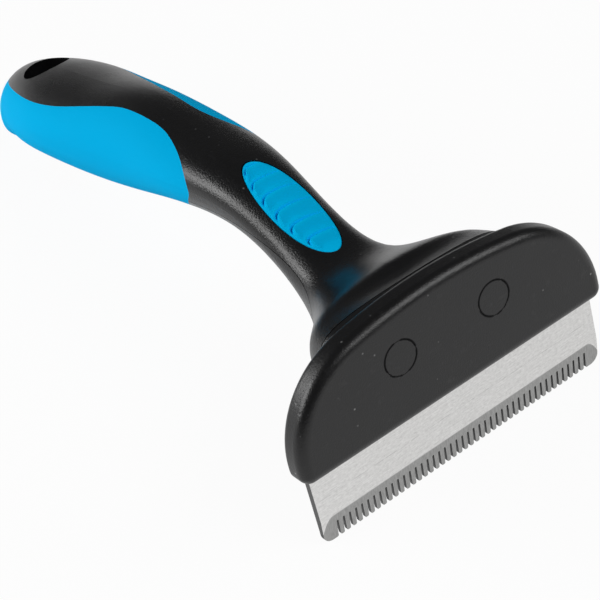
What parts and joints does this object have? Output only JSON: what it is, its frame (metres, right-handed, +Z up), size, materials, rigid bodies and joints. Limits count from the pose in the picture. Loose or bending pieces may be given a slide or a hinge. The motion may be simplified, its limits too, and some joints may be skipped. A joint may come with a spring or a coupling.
{
  "type": "pet deshedding comb",
  "caption": "Hand tool for pet coats: fine-toothed steel blade across a D-shaped black head, on an S-shaped handle with a blue soft grip, ribbed thumb pad and hanging hole.",
  "frame": {"origin": "centre of the bounding box in X and Y, at the lowest point: the table that the tool lies on", "axes": "+X along the blade, to the right as the toothed face is looked at from in front; +Y from the blade back along the handle to its butt; +Z up, with the tooth tips and the underside of the butt on the table"},
  "size_m": [0.0712, 0.1612, 0.04],
  "materials": {
    "steel": "brushed along the blade",
    "screw_steel": "zinc-plated",
    "black_satin": "fine satin texture",
    "blue_rubber": "smooth soft-touch"
  },
  "bodies": {
    "root": {"blade": "steel", "head_front": "black_satin", "head_back": "black_satin", "face_plug_left": "black_satin", "face_plug_right": "black_satin", "head_screw_left": "screw_steel", "head_screw_right": "screw_steel", "shell_screw_front": "screw_steel", "shell_screw_middle": "screw_steel", "shell_screw_rear": "screw_steel", "upper_shell": "black_satin", "lower_shell": "black_satin", "belly_grip": "blue_rubber", "thumb_pad": "blue_rubber"}
  },
  "joints": []
}
